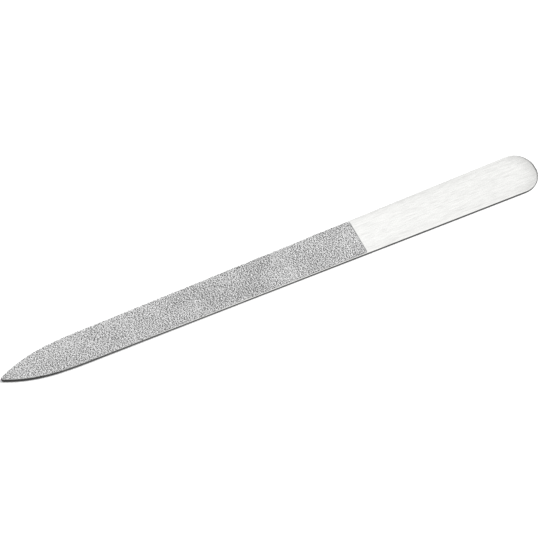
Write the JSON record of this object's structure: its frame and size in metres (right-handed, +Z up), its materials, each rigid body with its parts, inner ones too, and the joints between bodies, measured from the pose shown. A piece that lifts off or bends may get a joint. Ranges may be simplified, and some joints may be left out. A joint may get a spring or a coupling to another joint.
{
  "type": "diamond nail file",
  "caption": "Flat one-piece steel nail file with a pointed blade, diamond grit plated on both blade faces, and a plain rounded handle.",
  "frame": {"origin": "on the surface that the file lies on, under the middle of its length", "axes": "+X from the tip towards the handle end, +Z up out of the front face, +Y across the blade"},
  "size_m": [0.175, 0.014, 0.0011],
  "materials": {
    "steel": "stainless steel, fine brush lines along the length, tumbled rims",
    "nickel": "matte electroplated nickel",
    "diamond_grit": "fine sparkling diamond crystals, light grey"
  },
  "bodies": {
    "root": {"steel_blank": "steel", "front_nickel_bond": "nickel", "back_nickel_bond": "nickel", "front_diamond_grit": "diamond_grit", "back_diamond_grit": "diamond_grit"}
  },
  "joints": []
}
